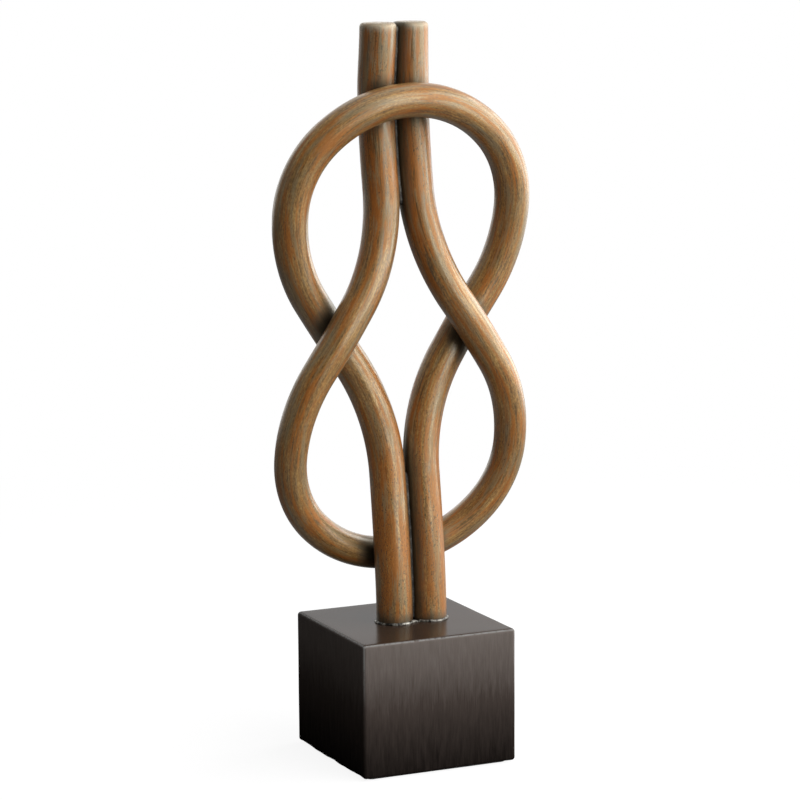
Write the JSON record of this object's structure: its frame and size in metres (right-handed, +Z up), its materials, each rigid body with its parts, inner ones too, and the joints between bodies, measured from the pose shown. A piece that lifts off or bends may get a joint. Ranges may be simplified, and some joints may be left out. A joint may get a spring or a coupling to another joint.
{
  "type": "metal knot sculpture",
  "caption": "Table sculpture: bent metal rods interlocked in a square knot, with free ends on top and legs bolted down on a dark square block with a felt underside.",
  "frame": {"origin": "middle of the block's footprint, on the surface that the felt sheet stands on", "axes": "+Z up; -Y is the front, where the top arch lies in front of the free ends; +X to the right seen from the front"},
  "size_m": [0.1931, 0.115, 0.508],
  "materials": {
    "rod_metal": "brown bronze patina, brushed lengthwise by hand, rubbed through to tan on the high sides",
    "weld_metal": "grey weld, wire brushed, stained brown at its edges",
    "block_metal": "dark brown-black, brushed upright on the sides, semi-gloss",
    "fastener_steel": "zinc plated, satin",
    "plate_paint": "matte black powder coat",
    "felt": "dark grey pressed wool felt"
  },
  "bodies": {
    "root": {"upper_loop_rod": "rod_metal", "lower_loop_rod": "rod_metal", "leg_seam_weld": "weld_metal", "free_end_seam_weld": "weld_metal", "left_crossing_weld": "weld_metal", "right_crossing_weld": "weld_metal", "upper_crown_tacks": "weld_metal", "lower_crown_tacks": "weld_metal", "foot_bead": "weld_metal", "block_shell": "block_metal", "leg_bolts": "fastener_steel", "spring_washers": "fastener_steel", "plain_washers": "fastener_steel", "bottom_plate": "plate_paint", "plate_screws": "fastener_steel", "felt_sheet": "felt"}
  },
  "joints": []
}
